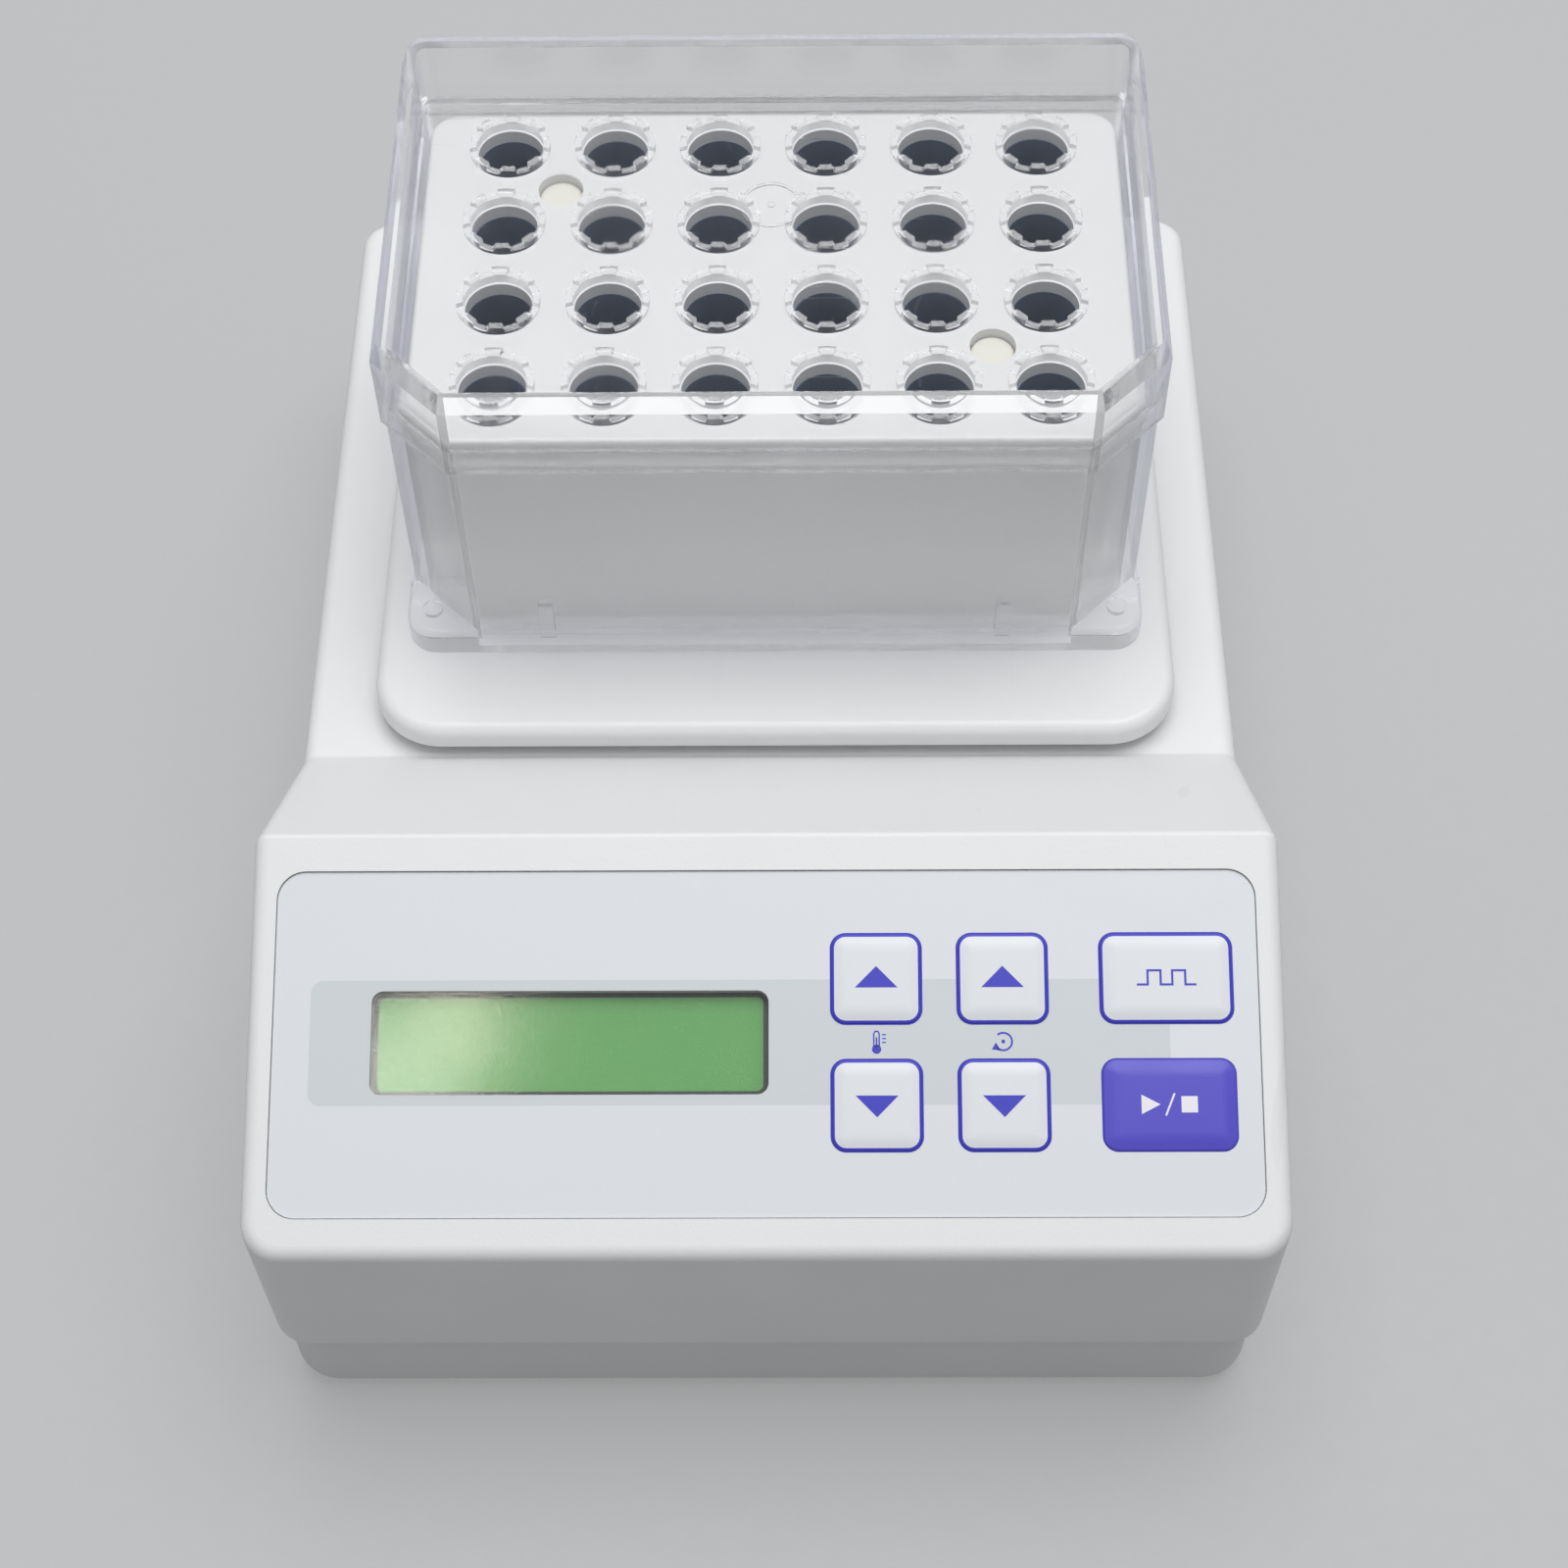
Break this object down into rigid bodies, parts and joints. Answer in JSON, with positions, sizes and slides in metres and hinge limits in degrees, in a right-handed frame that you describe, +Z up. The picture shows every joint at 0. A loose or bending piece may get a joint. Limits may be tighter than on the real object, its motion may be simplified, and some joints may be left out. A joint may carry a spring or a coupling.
{
  "type": "thermal mixer",
  "caption": "Compact bench mixer that heats and orbits a block of wells for micro tubes under a clear rack and lid, with a sloped key panel.",
  "frame": {"origin": "middle of the body's outline, on the surface that the rubber feet stand on", "axes": "+X to the right seen from the front, +Y to the back, +Z up; the key panel faces -Y"},
  "size_m": [0.1606, 0.2239, 0.1213],
  "materials": {
    "housing": "fine moulded grain, warm off-white",
    "pan": "fine moulded grain, light grey",
    "label": "printed polyester sheet, cool white",
    "key_white": "domed key with a violet printed outline",
    "key_violet": "solid violet print",
    "window": "clear window",
    "display": "green liquid crystal glass, no digits shown",
    "dark_plastic": "black moulding",
    "board": "green laminate",
    "clear": "clear moulded plastic with a faint violet edge tint",
    "white_plastic": "smooth white moulding",
    "cream_plastic": "cream plug",
    "alu": "machined, slightly scratched",
    "cast_alu": "cast and machined",
    "steel": "turned steel",
    "bearing_steel": "ground steel",
    "rubber": "black rubber",
    "copper": "enamelled copper wire",
    "iron": "laminated iron",
    "magnet": "coated magnet ring",
    "foam": "insulating silicone foam",
    "foil": "amber heating foil",
    "pins": "plated contacts"
  },
  "bodies": {
    "base": {"base_pan": "pan", "rubber_feet": "rubber", "case_screws": "steel", "upper_housing": "housing", "front_label": "label", "display_window": "window", "display_glass": "display", "display_frame": "dark_plastic", "panel_board": "board", "key_switches": "dark_plastic", "idler_lower_bearings": "bearing_steel", "chassis": "cast_alu", "chassis_screws": "steel", "main_bearing": "bearing_steel", "tail_bearing": "bearing_steel", "motor_can": "steel", "motor_screws": "steel", "stator_core": "iron", "stator_coils": "copper", "logic_board": "board", "power_supply": "board", "heat_sink": "alu", "board_screws": "steel", "power_inlet": "dark_plastic", "inlet_pins": "pins", "power_switch_body": "dark_plastic"},
    "drive": {"drive_shaft": "steel", "counterweight": "steel", "motor_rotor": "magnet"},
    "table": {"table_carrier": "cast_alu", "table_cover": "white_plastic", "table_bearing": "bearing_steel", "idler_upper_bearings": "bearing_steel", "insulation_pad": "foam", "heater_foil": "foil", "temperature_sensor": "steel", "thermoblock": "alu", "block_jacket": "white_plastic", "fixing_plugs": "cream_plastic", "fixing_screws": "steel"},
    "rack": {"tube_rack": "clear"},
    "lid": {"lid": "clear"},
    "rocker": {"power_rocker": "dark_plastic"},
    "idler_1": {"idler_crank_1": "steel"},
    "idler_2": {"idler_crank_2": "steel"},
    "idler_3": {"idler_crank_3": "steel"},
    "idler_4": {"idler_crank_4": "steel"},
    "key_temp_up": {"key_temp_up": "key_white"},
    "key_temp_down": {"key_temp_down": "key_white"},
    "key_speed_up": {"key_speed_up": "key_white"},
    "key_speed_down": {"key_speed_down": "key_white"},
    "key_pulse": {"key_pulse": "key_white"},
    "key_start_stop": {"key_start_stop": "key_violet"}
  },
  "joints": [
    {"name": "drive_spin", "type": "hinge", "parent": "base", "child": "drive", "pos_m": [0, 0.0441, 0.026], "axis": [0, 0, 1], "continuous": true},
    {"name": "table_orbit", "type": "hinge", "parent": "drive", "child": "table", "pos_m": [0.001, 0.04299, 0.0506], "axis": [0, 0, 1], "continuous": true},
    {"name": "idler_1_spin", "type": "hinge", "parent": "base", "child": "idler_1", "pos_m": [-0.044, 0.0121, 0.026], "axis": [0, 0, 1], "continuous": true},
    {"name": "idler_2_spin", "type": "hinge", "parent": "base", "child": "idler_2", "pos_m": [-0.044, 0.0761, 0.026], "axis": [0, 0, 1], "continuous": true},
    {"name": "idler_3_spin", "type": "hinge", "parent": "base", "child": "idler_3", "pos_m": [0.044, 0.0121, 0.026], "axis": [0, 0, 1], "continuous": true},
    {"name": "idler_4_spin", "type": "hinge", "parent": "base", "child": "idler_4", "pos_m": [0.044, 0.0761, 0.026], "axis": [0, 0, 1], "continuous": true},
    {"name": "rack_lift", "type": "slide", "parent": "table", "child": "rack", "axis": [0, 0, 1], "range_m": [0, 0.06]},
    {"name": "lid_lift", "type": "slide", "parent": "rack", "child": "lid", "axis": [0, 0, 1], "range_m": [0, 0.03]},
    {"name": "key_temp_up_press", "type": "slide", "parent": "base", "child": "key_temp_up", "axis": [0, 0.3585, -0.9335], "range_m": [0, 0.0004], "stiffness_N_per_m": 800},
    {"name": "key_temp_down_press", "type": "slide", "parent": "base", "child": "key_temp_down", "axis": [0, 0.3585, -0.9335], "range_m": [0, 0.0004], "stiffness_N_per_m": 800},
    {"name": "key_speed_up_press", "type": "slide", "parent": "base", "child": "key_speed_up", "axis": [0, 0.3585, -0.9335], "range_m": [0, 0.0004], "stiffness_N_per_m": 800},
    {"name": "key_speed_down_press", "type": "slide", "parent": "base", "child": "key_speed_down", "axis": [0, 0.3585, -0.9335], "range_m": [0, 0.0004], "stiffness_N_per_m": 800},
    {"name": "key_pulse_press", "type": "slide", "parent": "base", "child": "key_pulse", "axis": [0, 0.3585, -0.9335], "range_m": [0, 0.0004], "stiffness_N_per_m": 800},
    {"name": "key_start_stop_press", "type": "slide", "parent": "base", "child": "key_start_stop", "axis": [0, 0.3585, -0.9335], "range_m": [0, 0.0004], "stiffness_N_per_m": 800},
    {"name": "power_rock", "type": "hinge", "parent": "base", "child": "rocker", "pos_m": [0.012, 0.1075, 0.0356], "axis": [1, 0, 0], "range_deg": [-8, 8]}
  ],
  "couplings": [
    {"joint": "table_orbit", "follows": "drive_spin", "ratio": -1},
    {"joint": "idler_1_spin", "follows": "drive_spin", "ratio": 1},
    {"joint": "idler_2_spin", "follows": "drive_spin", "ratio": 1},
    {"joint": "idler_3_spin", "follows": "drive_spin", "ratio": 1},
    {"joint": "idler_4_spin", "follows": "drive_spin", "ratio": 1}
  ]
}
